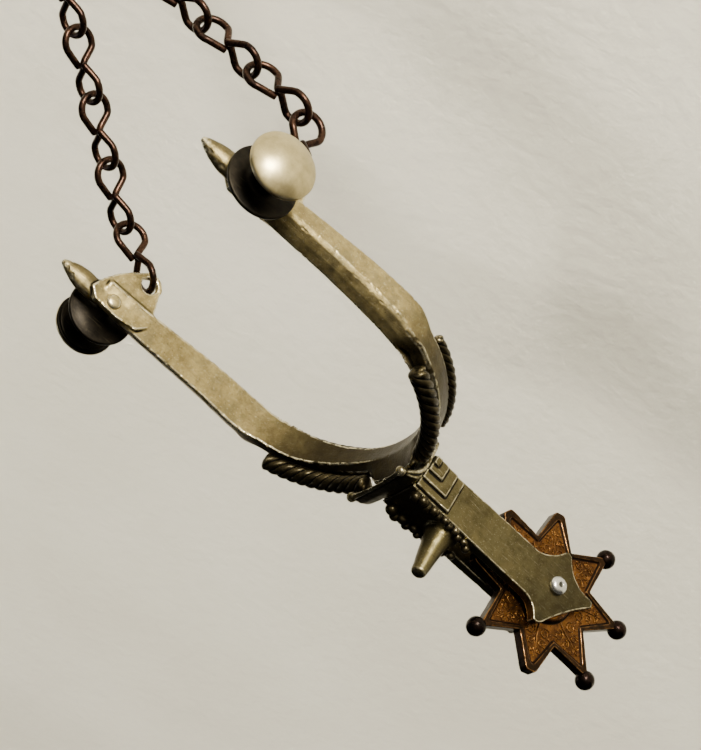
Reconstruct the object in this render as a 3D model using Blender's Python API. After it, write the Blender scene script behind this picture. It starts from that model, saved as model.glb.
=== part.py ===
"""Western spur with rope-edged heel band, spool strap buttons, star rowel and twin heel-chain strands.

Frame: +X lateral, +Y towards the toe, +Z up as worn. The origin is the centre of the
heel band's bend, on the mid-plane of the inner face. Lengths below are in millimetres
and are converted to metres when a mesh is made.
"""
import math
import bpy
import bmesh
from mathutils import Vector, Matrix

MM = 0.001

# ---- heel band -------------------------------------------------------------
BAND_R = 35.0            # inner radius of the heel bend
BAND_HEEL_DEPTH = 33.0   # inner face to origin, straight behind
ARM_LEN = 47.0           # straight arm, from the bend to its end
BAND_T_HEEL = 4.5        # radial thickness behind the heel
BAND_T_ARM = 6.0
BAND_H_MID = 11.2        # band height at the sides
BAND_H_END = 7.4
ARM_LEAN = 13.0          # degrees that the arm's top leans outwards at its end
GAP = 0.3                # clearance between neighbouring pieces

# ---- rope mouldings --------------------------------------------------------
ROPE_TOP = (38.9, 6.65, 2.5)    # distance from the origin, height, overall radius of the twist
ROPE_BOT = (38.9, -5.25, 1.5)
ROPE_FROM = 17.5         # degrees from straight behind
ROPE_TO = 67.0

# ---- shank -----------------------------------------------------------------
SHANK_Z = (-1.6, 11.0)
SHANK_RISE = 1.1         # how far the underside rises towards the collar
SHANK_W_ROOT = 7.0       # half width at the collar
SHANK_W_END = 6.1
SLOT_HALF = 3.1          # half width of the rowel slot
ROWEL_C = (0.0, -87.5, 2.65)
HORN_Y = -54.8
HORN_H = 14.0

# ---- rowel -----------------------------------------------------------------
ROWEL_BALL_R = 25.2      # ball centres
ROWEL_TIP_R = 23.0       # blunt tips
ROWEL_NOTCH_R = 14.8
ROWEL_T = 3.0
ROWEL_PHASE = 242.2      # degrees, first ball point
BALL_R = 2.65
BALL_POINTS = (0, 1, 2, 4)
PIN_R = 1.6

# ---- strap buttons ---------------------------------------------------------
BUTTON_Y, BUTTON_Z = 43.0, 2.6
BUTTON_R = 8.6
FLANGE_R = 9.3
DOME_X = 51.8            # plane of the dome's rim

# ---- heel chain ------------------------------------------------------------
WIRE_R = 0.95
LINK_PITCH = 17.8        # pivot to pivot
LINKS_PER_SIDE = 5
LOOP_R = 4.15            # loop centre-line radius
TAB_X = 35.4             # middle plane of the chain tabs
TAB_HOLE = {1: (36.2, -11.0), -1: (38.2, -9.0)}   # (y, z) of each hole; the arms aren't quite alike
TAB_R, TAB_HOLE_R, TAB_T = 3.8, 2.35, 2.4
RING_END_X = 10.8        # where the middle ring ends, clear of the right strand
# first link joint and last link joint of each strand
STRAND = {1: ((36.0, 42.6, -27.6), (11.8, 106.6, -47.5)), -1: ((-36.7, 52.5, -19.6), (-5.7, 111.4, -44.9))}


def clear_scene():
    for o in list(bpy.data.objects):
        bpy.data.objects.remove(o, do_unlink=True)
    for c in list(bpy.data.collections):
        bpy.data.collections.remove(c)


clear_scene()
COL = bpy.data.collections.new("western_spur")
CUT = bpy.data.collections.new("cutters")
bpy.context.scene.collection.children.link(COL)
bpy.context.scene.collection.children.link(CUT)


def material(name, rgb, rough, metal=1.0):
    m = bpy.data.materials.new(name)
    m.use_nodes = True
    b = m.node_tree.nodes["Principled BSDF"]
    b.inputs["Base Color"].default_value = (*rgb, 1.0)
    b.inputs["Roughness"].default_value = rough
    b.inputs["Metallic"].default_value = metal
    return m


def to_object(name, bm, mat=None, col=COL, smooth=None):
    """Makes an object from a bmesh whose lengths are in millimetres."""
    bmesh.ops.scale(bm, vec=(MM, MM, MM), verts=bm.verts)
    me = bpy.data.meshes.new(name)
    bm.to_mesh(me)
    bm.free()
    if smooth is not None:
        me.shade_smooth()
        me.set_sharp_from_angle(angle=math.radians(smooth))
    o = bpy.data.objects.new(name, me)
    col.objects.link(o)
    if mat:
        me.materials.append(mat)
    if col is CUT:
        o.hide_render = True
        o.display_type = 'WIRE'
    return o


def boolean(o, other, op, tag):
    m = o.modifiers.new(tag, 'BOOLEAN')
    m.operation = op
    m.solver = 'EXACT'
    m.object = other
    return m


def loft(rings, cap=True):
    """Joins closed rings of equal point count into a tube with end caps."""
    bm = bmesh.new()
    vs = [[bm.verts.new(p) for p in r] for r in rings]
    n = len(rings[0])
    for a, b in zip(vs, vs[1:]):
        for i in range(n):
            j = (i + 1) % n
            bm.faces.new((a[i], a[j], b[j], b[i]))
    if cap:
        bm.faces.new(vs[0][::-1])
        bm.faces.new(vs[-1])
    bmesh.ops.recalc_face_normals(bm, faces=bm.faces)
    return bm


def prism(outline, x0, x1):
    """Extrudes a closed (y, z) outline along X."""
    bm = bmesh.new()
    a = [bm.verts.new((x0, y, z)) for y, z in outline]
    b = [bm.verts.new((x1, y, z)) for y, z in outline]
    n = len(outline)
    bm.faces.new(a)
    bm.faces.new(b[::-1])
    for i in range(n):
        j = (i + 1) % n
        bm.faces.new((a[j], a[i], b[i], b[j]))
    bmesh.ops.recalc_face_normals(bm, faces=bm.faces)
    return bm


def box(x0, x1, y0, y1, z0, z1):
    bm = bmesh.new()
    bmesh.ops.create_cube(bm, size=1.0, matrix=Matrix.Translation(((x0 + x1) / 2, (y0 + y1) / 2, (z0 + z1) / 2))
                          @ Matrix.Diagonal((x1 - x0, y1 - y0, z1 - z0, 1.0)))
    return bm


def cylinder_x(x0, x1, y, z, r, seg=24):
    bm = bmesh.new()
    bmesh.ops.create_cone(bm, cap_ends=True, segments=seg, radius1=r, radius2=r, depth=x1 - x0,
                          matrix=Matrix.Translation(((x0 + x1) / 2, y, z)) @ Matrix.Rotation(math.pi / 2, 4, 'Y'))
    return bm


def smoothstep(a, b, t):
    t = min(1.0, max(0.0, (t - a) / (b - a)))
    return t * t * (3 - 2 * t)


# ---- heel band: one section swept round the heel and along both arms --------
def band_plan():
    """Stations along the inner face: (x, y, outward normal, p) from the heel to the arm's end."""
    out = []
    n = 14
    for i in range(n + 1):
        a = math.radians(90.0 * i / n)
        x, y = BAND_R * math.sin(a), -BAND_HEEL_DEPTH * math.cos(a)
        nx, ny = math.sin(a) / BAND_R, -math.cos(a) / BAND_HEEL_DEPTH
        k = math.hypot(nx, ny)
        out.append((x, y, nx / k, ny / k))
    m = 7
    for i in range(1, m + 1):
        y = ARM_LEN * i / m
        out.append((BAND_R - 0.5 * (y / ARM_LEN) ** 2, y, 1.0, 0.02 * y / ARM_LEN))
    return out


def band_section(x, y, nx, ny):
    fr = smoothstep(-31.0, -4.0, y)                 # 0 behind the heel, 1 on the arm
    end = max(0.0, y / ARM_LEN)
    t = BAND_T_HEEL + (BAND_T_ARM - BAND_T_HEEL) * fr
    h = BAND_H_MID + (BAND_H_END - BAND_H_MID) * end
    up = 1.3 + (h / 2 - 0.5 - 1.3) * smoothstep(-34.0, -17.0, y)   # inner face above and below the mid-line
    dn = 3.3 + (h / 2 - 0.6 - 3.3) * smoothstep(-32.0, -12.0, y)
    ho = 6.6 + (h - 6.6) * smoothstep(-11.5, -5.0, y)  # outer face height between the ropes
    n1 = 1.7 + (0.6 - 1.7) * fr                     # width of the inner slope
    zc = 0.4 - 0.3 * smoothstep(-31.0, -15.0, y) + 1.7 * smoothstep(5.0, 40.0, y)
    lift = 1 - smoothstep(6.4, 9.4, x)              # the saddle under the collar, between the rope ends
    n1, top = n1 + 0.9 * lift, ho / 2 + 4.0 * lift
    ch = 0.25 * h * smoothstep(-11.5, -2.0, y) * (1 - smoothstep(20.0, 31.0, y))  # the arm's top face falls away outwards
    lean = math.radians(2.0 + (ARM_LEAN - 2.0) * smoothstep(-20.0, 40.0, y))
    c, s = math.cos(lean), math.sin(lean)
    pts = []
    for a, b in ((0, -dn), (0, up), (n1, top), (t - 0.7 - 0.5 * lift, top - 0.85 * ch), (t, top - 0.7 - ch), (t, -ho / 2 + 0.7),
                 (t - 0.7, -ho / 2), (n1 - 0.9 * lift, -ho / 2)):
        n, z = a * c + b * s, -a * s + b * c + zc
        pts.append((x + nx * n, y + ny * n, z))
    return pts


def make_band():
    plan = band_plan()
    right = [band_section(*p) for p in plan]
    left = [[(-q[0], q[1], q[2]) for q in band_section(*p)] for p in plan[1:]][::-1]
    bm = loft(left + right)
    o = to_object("heel_band", bm, M_BRASS, smooth=35)
    for side, tag in ((1, "right"), (-1, "left")):
        # chain tab below the arm's end, with its hole
        a, b = sorted((side * (TAB_X + TAB_T / 2), side * (TAB_X - TAB_T / 2)))
        boolean(o, to_object(f"cut_tab_{tag}", prism(tab_outline(side), a, b), col=CUT), 'UNION', f"tab_{tag}")
        # pointed finial in front of the button
        boolean(o, to_object(f"cut_finial_{tag}", finial(side), col=CUT), 'UNION', f"finial_{tag}")
        a, b = sorted((side * (TAB_X + 9), side * (TAB_X - 9)))
        boolean(o, to_object(f"cut_hole_{tag}", cylinder_x(a, b, *TAB_HOLE[side], TAB_HOLE_R, 20), col=CUT), 'DIFFERENCE',
                f"hole_{tag}")
        a, b = sorted((side * 30.0, side * 50.0))
        boolean(o, to_object(f"cut_rivet_{tag}", cylinder_x(a, b, BUTTON_Y, BUTTON_Z, 2.3, 16), col=CUT), 'DIFFERENCE',
                f"rivet_{tag}")
    return o


def tab_outline(side):
    """Plate on the inner side of the arm's end that carries the chain hole."""
    ty, tz = TAB_HOLE[side]
    pts = [(31.5, 1.0), (ty - 5.2, -4.6)]
    a0, a1 = math.radians(172), math.radians(330)
    for i in range(11):
        a = a0 + (a1 - a0) * i / 10
        pts.append((ty + TAB_R * math.cos(a), tz + TAB_R * math.sin(a)))
    pts += [(ty + 5.6, tz + 0.2), (46.6, -5.2), (48.8, -1.4), (50.2, 3.0), (47.5, 5.6), (40.0, 5.8), (34.0, 4.6)]
    return pts


def finial(side):
    """Blunt leaf-shaped point at the front of the arm."""
    rings = []
    n = 10
    for y, hz, hx in ((45.8, 3.1, 2.5), (49.5, 4.3, 2.9), (52.5, 4.1, 2.8), (55.5, 3.2, 2.3), (58.0, 2.1, 1.7), (59.8, 1.0, 0.9)):
        zc = 2.1 - 0.03 * (y - 46)
        rings.append([(side * 37.6 + hx * math.cos(2 * math.pi * i / n), y, zc + hz * math.sin(2 * math.pi * i / n))
                      for i in range(n)])
    return loft(rings)


M_BRASS = material("aged_brass", (0.46, 0.42, 0.30), 0.38)
M_BUTTON = material("satin_nickel", (0.62, 0.57, 0.45), 0.28)
M_SHANK = material("aged_brass_shank", (0.40, 0.36, 0.24), 0.40)
M_TRIM = material("dark_trim", (0.20, 0.17, 0.11), 0.42)
M_STAR = material("copper_star", (0.36, 0.20, 0.07), 0.40)
M_PIN = material("bright_pin", (0.80, 0.80, 0.78), 0.22)
M_CHAIN = material("dark_copper", (0.16, 0.10, 0.07), 0.35)

make_band()


# ---- rope mouldings ---------------------------------------------------------
def rope(name, side, rc, zc, rr):
    """Twisted moulding: a lobed section that turns as it runs round the heel."""
    rings = []
    n, lobes, st = 8, 2, 34
    for i in range(st + 1):
        a = math.radians(ROPE_FROM + (ROPE_TO - ROPE_FROM) * i / st)
        turn = side * 2 * math.pi * i / 8.0
        taper = 1.0 if 0 < i < st else 0.7
        cx, cy = math.sin(a), -math.cos(a) * (BAND_HEEL_DEPTH + rc - BAND_R) / rc
        ring = []
        for k in range(n):
            b = 2 * math.pi * k / n
            r = (rr - 0.22 + 0.22 * math.cos(lobes * (b - turn))) * taper
            ring.append((side * (rc * cx + r * math.cos(b) * math.sin(a)), rc * cy - r * math.cos(b) * math.cos(a),
                         zc + r * math.sin(b)))
        rings.append(ring)
    return to_object(name, loft(rings), M_TRIM, smooth=60)


rope("rope_top_right", 1, *ROPE_TOP)
rope("rope_top_left", -1, *ROPE_TOP)
rope("rope_bottom_right", 1, *ROPE_BOT)
rope("rope_bottom_left", -1, *ROPE_BOT)


# ---- shank ------------------------------------------------------------------
def arc_between(p, q, sag, n=5):
    """Points of a shallow arc from p to q, bulging by sag to its left."""
    (py, pz), (qy, qz) = p, q
    my, mz = (py + qy) / 2, (pz + qz) / 2
    dy, dz = qy - py, qz - pz
    d = math.hypot(dy, dz)
    ny, nz = -dz / d, dy / d
    out = []
    for i in range(n):
        t = i / n
        k = 4 * t * (1 - t) * sag
        out.append((py + dy * t + ny * k, pz + dz * t + nz * k))
    return out


def shank_outline():
    """Side view of the shank, (y, z): straight bar, then a cheek with three points."""
    z0, z1 = SHANK_Z
    top, rear, low = (-86.9, 15.4), (-99.0, -0.7), (-86.2, -8.2)
    pts = [(-39.4, z0 + SHANK_RISE), (-39.4, z1), (-60.0, z1 + 0.1), (-77.6, z1)]
    pts += arc_between((-78.8, z1 + 0.05), (top[0] + 1.0, top[1]), 1.5, 6)
    pts += [(top[0] + 1.0, top[1]), (top[0] - 0.6, top[1])]
    pts += arc_between((top[0] - 1.5, top[1] - 0.9), (rear[0], rear[1] + 1.0), 0.7, 7)
    pts += [(rear[0], rear[1] + 1.0), (rear[0] + 0.3, rear[1] - 0.4)]
    pts += arc_between((rear[0] + 1.3, rear[1] - 0.7), (low[0] - 1.2, low[1] + 0.6), 1.9, 6)
    pts += [(low[0] - 1.2, low[1] + 0.6), (low[0] - 0.3, low[1]), (low[0] + 0.7, low[1] + 0.4)]
    pts += arc_between((low[0] + 1.4, low[1] + 1.5), (-77.5, z0 + 0.1), 0.9, 5)
    pts += [(-76.0, z0), (-71.0, z0)]
    return pts


def shank_w(y):
    t = min(1.0, max(0.0, (-y - 42.0) / 28.0))
    return SHANK_W_ROOT + (SHANK_W_END - SHANK_W_ROOT) * t


def make_shank():
    o = to_object("shank", prism(shank_outline(), -SHANK_W_END, SHANK_W_END), M_SHANK, smooth=30)
    # the bar widens towards the heel band
    rings = []
    for y, rise in ((-39.2, SHANK_RISE), (-71.5, 0.0)):
        w = shank_w(y) + 0.04
        low = SHANK_Z[0] + rise - 0.04
        rings.append([(-w, y, low), (w, y, low), (w, y, SHANK_Z[1] + 0.12), (-w, y, SHANK_Z[1] + 0.12)])
    boolean(o, to_object("cut_wedge", loft(rings), col=CUT), 'UNION', "wedge")
    # stepped blocks, each shorter and prouder than the one below it
    for i, (w, y1, ztop) in enumerate(((7.4, -50.7, 10.3), (8.1, -47.9, 7.8), (8.8, -44.5, 5.2), (9.5, -41.7, 3.1))):
        boolean(o, to_object(f"cut_step_{i}", box(-w, w, y1, -39.6 - 0.07 * i, -0.1 + 0.3 * i, ztop),
                             col=CUT), 'UNION', f"step_{i}")
    zc = ROWEL_C[2]
    r_clear = ROWEL_BALL_R + BALL_R + 0.6
    boolean(o, to_object("cut_slot", box(-SLOT_HALF, SLOT_HALF, ROWEL_C[1] - 40, ROWEL_C[1] + r_clear, zc - 40, zc + 40),
                         col=CUT), 'DIFFERENCE', "slot")
    boolean(o, to_object("cut_pin", cylinder_x(-12, 12, ROWEL_C[1], zc, PIN_R + GAP, 16), col=CUT), 'DIFFERENCE', "pin")
    return o


make_shank()


def collar():
    """Shield-shaped plate between the band and the shank; its top leans over the band."""
    rings = []
    for z, w, y, rear in ((-4.0, 6.8, -38.6, -39.1), (-2.6, 8.3, -38.6, -39.1), (2.0, 9.3, -38.6, -39.1), (6.5, 10.2, -38.6, -39.1),
                          (8.6, 10.6, -38.2, -39.1), (10.4, 11.0, -37.1, -39.1), (12.0, 11.5, -35.6, -38.4), (13.2, 11.7, -34.3, -36.6),
                          (13.9, 11.0, -33.5, -34.6)):
        t = 0.55 if z < 9 else 0.62
        k = 0.55 if z < 8 else 0.8
        n = 9
        front, back = [], []
        for i in range(n):
            x = -w + 2 * w * i / (n - 1)
            bow = k * (x / w) ** 2
            front.append((x, y + t + bow, z + 0.25 * bow))
            back.append((x, rear + 0.3 * bow, z - 0.25 * bow))
        rings.append(front + back[::-1])
    return loft(rings)


to_object("shank_collar", collar(), M_SHANK, smooth=40)


def horn():
    """Blunt chap-guard horn with a flat dark tip."""
    rings = []
    n = 18
    z0 = SHANK_Z[1] + 0.12 + GAP
    for dz, r, dy in ((0.0, 5.0, 0.0), (0.8, 4.7, 0.0), (2.2, 4.1, 0.1), (5.5, 3.4, 0.2), (9.5, 2.8, 0.1), (12.6, 2.3, 0.0),
                      (HORN_H - 0.5, 2.15, 0.0), (HORN_H, 1.8, 0.0)):
        rings.append([(r * math.cos(2 * math.pi * i / n), HORN_Y + dy + 0.9 * r * math.sin(2 * math.pi * i / n), z0 + dz)
                      for i in range(n)])
    return loft(rings)


to_object("chap_guard_horn", horn(), M_SHANK, smooth=40)


def bead_row(name, side):
    """Low beaded strip on the shank's top, from the collar round the horn."""
    rings = []
    n, st = 6, 22
    for i in range(st + 1):
        t = i / st
        y = -41.2 - 20.8 * t
        x = side * (6.0 - 2.4 * max(0.0, (t - 0.62) / 0.38) ** 1.5)
        big = 1.5 - 0.5 * smoothstep(0.0, 0.4, t)
        r = big * (0.55 + 0.45 * abs(math.sin(math.pi * 5.5 * t)))
        rings.append([(x + r * math.cos(2 * math.pi * k / n + 0.5), y, SHANK_Z[1] + GAP + 0.12 + big + r * math.sin(2 * math.pi * k / n + 0.5))
                      for k in range(n)])
    return to_object(name, loft(rings), M_TRIM, smooth=60)


bead_row("bead_row_right", 1)
bead_row("bead_row_left", -1)


# ---- rowel --------------------------------------------------------------------
def star_outline():
    """Eight tapering points; ball points narrow to a neck, the others end square."""
    pts = []
    for k in range(8):
        a = math.radians(ROWEL_PHASE - 45.0 * k)
        ball = k in BALL_POINTS
        half = 0.85 if ball else 1.75
        r = ROWEL_BALL_R - BALL_R + 0.5 if ball else ROWEL_TIP_R
        u, v = (math.cos(a), math.sin(a)), (math.sin(a), -math.cos(a))
        am = math.radians(ROWEL_PHASE - 45.0 * k + 22.5)
        pts.append((ROWEL_NOTCH_R * math.cos(am), ROWEL_NOTCH_R * math.sin(am)))
        if ball:
            pts += [(u[0] * r - v[0] * half, u[1] * r - v[1] * half), (u[0] * r + v[0] * half, u[1] * r + v[1] * half)]
        else:
            c = 0.5
            pts += [(u[0] * (r - c) - v[0] * half, u[1] * (r - c) - v[1] * half), (u[0] * r - v[0] * (half - c), u[1] * r - v[1] * (half - c)),
                    (u[0] * r + v[0] * (half - c), u[1] * r + v[1] * (half - c)), (u[0] * (r - c) + v[0] * half, u[1] * (r - c) + v[1] * half)]
    return [(y + ROWEL_C[1], z + ROWEL_C[2]) for y, z in pts]


def make_rowel():
    o = to_object("rowel", prism(star_outline(), -ROWEL_T / 2, ROWEL_T / 2), M_STAR, smooth=30)
    boolean(o, to_object("cut_hub", cylinder_x(-2.5, 2.5, ROWEL_C[1], ROWEL_C[2], 8.6, 32), col=CUT), 'UNION', "hub")
    for k in BALL_POINTS:
        a = math.radians(ROWEL_PHASE - 45.0 * k)
        bm = bmesh.new()
        bmesh.ops.create_uvsphere(bm, u_segments=12, v_segments=8, radius=BALL_R,
                                  matrix=Matrix.Translation((0.0, ROWEL_C[1] + ROWEL_BALL_R * math.cos(a), ROWEL_C[2] + ROWEL_BALL_R * math.sin(a)))
                                  @ Matrix.Rotation(a + 0.13, 4, 'X'))
        boolean(o, to_object(f"cut_ball_{k}", bm, col=CUT), 'UNION', f"ball_{k}")
    boolean(o, to_object("cut_bore", cylinder_x(-9, 9, ROWEL_C[1], ROWEL_C[2], PIN_R + GAP, 16), col=CUT), 'DIFFERENCE', "bore")
    return o


make_rowel()


def screw_x(name, profile, y, z, side, mat, seg=24, flip=False):
    """Turned piece on an axis along X: profile of (distance along the axis, radius)."""
    rings = []
    for d, r in profile:
        rings.append([(side * d, y + r * math.cos(2 * math.pi * i / seg), z + r * math.sin(2 * math.pi * i / seg)) for i in range(seg)])
    return to_object(name, loft(rings), mat, smooth=40)


face = SHANK_W_END + GAP
screw_x("rowel_pin", ((-face - 1.6, 1.2), (-face - 1.1, 2.0), (-face, 2.45), (-face, PIN_R), (face, PIN_R), (face, 2.45), (face + 1.1, 2.0),
                      (face + 1.6, 1.2)), ROWEL_C[1], ROWEL_C[2], 1, M_PIN, 16)


# ---- strap buttons ---------------------------------------------------------------
def button(name, side):
    x0 = 36.0
    prof = [(x0, 2.0), (41.0 + GAP + 0.55, 2.0), (41.0 + GAP + 0.55, FLANGE_R - 0.3), (42.1, FLANGE_R), (42.5, FLANGE_R), (42.75, FLANGE_R - 0.3),
            (42.75, 3.9), (45.5, 3.4), (49.6, 3.6), (50.4, BUTTON_R - 1.0), (51.0, BUTTON_R - 0.1), (DOME_X, BUTTON_R), (52.8, BUTTON_R - 0.5),
            (53.9, BUTTON_R - 2.0), (54.7, BUTTON_R - 4.4), (55.1, 1.6)]
    return screw_x(name, prof, BUTTON_Y, BUTTON_Z, side, M_BUTTON, 28)


button("strap_button_right", 1)
button("strap_button_left", -1)


# ---- heel chain --------------------------------------------------------------------
def link_path(phase):
    """Figure-eight wire: two loops at right angles whose ends butt at the neck."""
    half = LINK_PITCH / 2 + 1.1 - LOOP_R      # loop centre to link centre
    pts = []
    n = 9
    for end, tilt in ((-1, phase), (1, phase + math.pi / 2)):
        u = Vector((math.cos(tilt), math.sin(tilt), 0.0))
        a0 = math.radians(58)
        loop = []
        for i in range(n + 1):
            a = a0 + (2 * math.pi - 2 * a0) * i / n
            # the loop opens towards the neck
            loop.append(Vector((0, 0, end * half)) + u * (LOOP_R * math.sin(a)) + Vector((0, 0, -end * LOOP_R * math.cos(a))))
        pts.append(loop)
    return pts


def make_link(name, start, end, phase):
    """One link between two pivots, as a wire of round section."""
    a, b = Vector(start), Vector(end)
    z = (b - a).normalized()
    x = Vector((1, 0, 0))
    x = (x - z * x.dot(z)).normalized()
    y = z.cross(x)
    rot = Matrix((x, y, z)).transposed()
    mid = (a + b) / 2
    lower, upper = link_path(phase)
    off = WIRE_R + 0.14
    u = Vector((math.cos(phase), math.sin(phase), 0.0))
    v = Vector((math.cos(phase + math.pi / 2), math.sin(phase + math.pi / 2), 0.0))
    # one wire: starts beside the neck, runs round the first loop, crosses, then round the second
    path = [u * off * 1.0 + v * -off * 0.9 + Vector((0, 0, 0.4))]
    path += lower
    path += [u * -off * 0.35 + Vector((0, 0, -0.9)), v * off * 0.35 + Vector((0, 0, 0.9))]
    path += upper
    path += [v * -off * 1.0 + u * off * -0.9 + Vector((0, 0, -0.2))]
    return wire(name, [rot @ q + mid for q in path])


def wire(name, path, cyclic=False):
    cu = bpy.data.curves.new(name, 'CURVE')
    cu.dimensions = '3D'
    cu.bevel_depth = WIRE_R * MM
    cu.bevel_resolution = 1
    cu.use_fill_caps = True
    cu.resolution_u = 1
    sp = cu.splines.new('POLY')
    sp.points.add(len(path) - 1)
    for p, w in zip(sp.points, path):
        p.co = (w.x * MM, w.y * MM, w.z * MM, 1.0)
    sp.use_cyclic_u = cyclic
    o = bpy.data.objects.new(name, cu)
    COL.objects.link(o)
    cu.materials.append(M_CHAIN)
    return o


REACH = WIRE_R + GAP / 2             # from a pivot to each of the two wires that meet there
INSET = LOOP_R - REACH               # from a pivot to the centre of its loop


def flat_part(v, normal):
    return (v - normal * v.dot(normal)).normalized()


def link_axes(d):
    """The link's own X and Y for its direction; its far loop lies in the plane across X."""
    x = flat_part(Vector((1, 0, 0)), d)
    return x, d.cross(x)


def next_centre(end, d1, d2, normal2):
    """Centre of the loop that hangs in the far loop of the link that ends at end."""
    mid = (d1 + d2).normalized()
    return (end - d1 * INSET + flat_part(mid, link_axes(d1)[0]) * LOOP_R + flat_part(mid, normal2) * LOOP_R
            - mid * (2 * WIRE_R + GAP))


def strand_links(side):
    """Start and end pivot of each link. Two wires keep their gap where the strand bends."""
    t0 = Vector((side * TAB_X, *TAB_HOLE[side]))
    j1, j5 = (Vector(p) for p in STRAND[side])
    d1, d2 = (j1 - t0).normalized(), (j5 - j1).normalized()
    links = [(t0, t0 + d1 * LINK_PITCH)]
    start = next_centre(links[0][1], d1, d2, link_axes(d2)[1]) - d2 * INSET
    for i in range(LINKS_PER_SIDE - 1):
        links.append((start + d2 * (LINK_PITCH * i), start + d2 * (LINK_PITCH * (i + 1))))
    return links, d2


for side, tag in ((1, "right"), (-1, "left")):
    for i, (p, q) in enumerate(strand_links(side)[0]):
        make_link(f"chain_{tag}_{i + 1:02d}", p, q, 0.0)


def middle_link():
    """Plain oval ring that hangs in the left strand and ends just short of the right one."""
    (lr, dr), (ll, dl) = strand_links(1), strand_links(-1)
    er, el = lr[-1][1], ll[-1][1]
    m = (er - el).normalized()
    n = (dr.cross(m) + dl.cross(m)).normalized()
    v = m.cross(n).normalized()
    path = []
    k = 7
    near = next_centre(el, dl, m, n)
    far = near + m * ((RING_END_X - near.x) / m.x - LOOP_R - WIRE_R)
    for side, c in ((1, far), (-1, near)):
        for i in range(k):
            a = -math.pi / 2 + math.pi * i / (k - 1)
            path.append(c + m * (side * LOOP_R * math.cos(a)) + v * (side * LOOP_R * math.sin(a)))
    return wire("chain_middle_link", path, cyclic=True)


middle_link()
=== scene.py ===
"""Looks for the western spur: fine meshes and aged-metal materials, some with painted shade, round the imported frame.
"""
import math
import bpy
import bmesh
import numpy as np
from mathutils import Vector, Matrix, noise


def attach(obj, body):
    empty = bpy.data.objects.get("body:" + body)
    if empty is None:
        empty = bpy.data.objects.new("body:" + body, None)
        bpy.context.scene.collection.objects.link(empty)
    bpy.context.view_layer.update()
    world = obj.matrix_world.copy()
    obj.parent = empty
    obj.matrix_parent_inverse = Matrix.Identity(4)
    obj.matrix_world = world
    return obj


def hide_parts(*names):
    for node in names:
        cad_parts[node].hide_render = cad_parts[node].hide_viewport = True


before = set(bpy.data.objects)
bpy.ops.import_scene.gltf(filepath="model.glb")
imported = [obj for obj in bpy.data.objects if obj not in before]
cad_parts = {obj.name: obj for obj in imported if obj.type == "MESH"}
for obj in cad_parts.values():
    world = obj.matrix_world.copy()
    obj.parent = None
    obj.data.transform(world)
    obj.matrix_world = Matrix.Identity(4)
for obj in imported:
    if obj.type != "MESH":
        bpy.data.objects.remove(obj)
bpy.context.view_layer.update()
MM = 0.001
SCENE = bpy.context.scene

# ---------------------------------------------------------------- camera first
cam_data = bpy.data.cameras.new("photo_camera")
cam = bpy.data.objects.new("photo_camera", cam_data)
SCENE.collection.objects.link(cam)
cam_data.sensor_width = 36.0
cam_data.lens = 97.98
cam_data.clip_start, cam_data.clip_end = 0.01, 20.0
right, down, ahead = (Vector(v) for v in ((0.53809, -0.71433, -0.44743), (-0.33241, -0.66765, 0.66615), (-0.77457, -0.20972, -0.5967)))
rot = Matrix((right, -down, -ahead)).transposed().to_4x4()
cam.matrix_world = Matrix.Translation((0.40417, 0.09776, 0.30504)) @ rot
SCENE.camera = cam


# ---------------------------------------------------------------- mesh helpers (lengths in millimetres)
def mesh_object(name, verts, faces, smooth=True):
    me = bpy.data.meshes.new(name)
    me.from_pydata([(x * MM, y * MM, z * MM) for x, y, z in verts], [], faces)
    me.update()
    bm = bmesh.new()
    bm.from_mesh(me)
    bmesh.ops.recalc_face_normals(bm, faces=bm.faces)
    bm.to_mesh(me)
    bm.free()
    if smooth:
        me.shade_smooth()
    o = bpy.data.objects.new(name, me)
    SCENE.collection.objects.link(o)
    return o


def loft_data(rings, cap=True, closed=False):
    n = len(rings[0])
    verts = [tuple(p) for r in rings for p in r]
    faces = []
    m = len(rings)
    for a in range(m if closed else m - 1):
        b = (a + 1) % m
        for i in range(n):
            j = (i + 1) % n
            faces.append((a * n + i, a * n + j, b * n + j, b * n + i))
    if cap and not closed:
        for base, ring, flip in ((0, rings[0], True), ((m - 1) * n, rings[-1], False)):
            c = [sum(p[k] for p in ring) / n for k in range(3)]
            verts.append(tuple(c))
            k = len(verts) - 1
            for i in range(n):
                j = (i + 1) % n
                faces.append((base + j, base + i, k) if flip else (base + i, base + j, k))
    return verts, faces


def loft(name, rings, cap=True, closed=False):
    return mesh_object(name, *loft_data(rings, cap, closed))


def prism(name, outline, x0, x1):
    n = len(outline)
    verts = [(x0, y, z) for y, z in outline] + [(x1, y, z) for y, z in outline]
    faces = [tuple(range(n)), tuple(range(2 * n - 1, n - 1, -1))]
    faces += [(i, (i + 1) % n, n + (i + 1) % n, n + i) for i in range(n)]
    return mesh_object(name, verts, faces, smooth=False)


def box(name, x0, x1, y0, y1, z0, z1):
    return prism(name, [(y0, z0), (y1, z0), (y1, z1), (y0, z1)], x0, x1)


def turned(name, profile, y, z, side=1, seg=96):
    """Turned piece on an axis along X."""
    rings = [[(side * d, y + r * math.cos(2 * math.pi * i / seg), z + r * math.sin(2 * math.pi * i / seg)) for i in range(seg)]
             for d, r in profile]
    return loft(name, rings)


def ball(name, centre, r, seg=32, squash=(1, 1, 1)):
    rings = []
    for i in range(1, seg // 2):
        a = math.pi * i / (seg // 2)
        rings.append([(centre[0] + squash[0] * r * math.cos(a), centre[1] + squash[1] * r * math.sin(a) * math.cos(2 * math.pi * k / seg),
                       centre[2] + squash[2] * r * math.sin(a) * math.sin(2 * math.pi * k / seg)) for k in range(seg)])
    return loft(name, rings)


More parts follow.
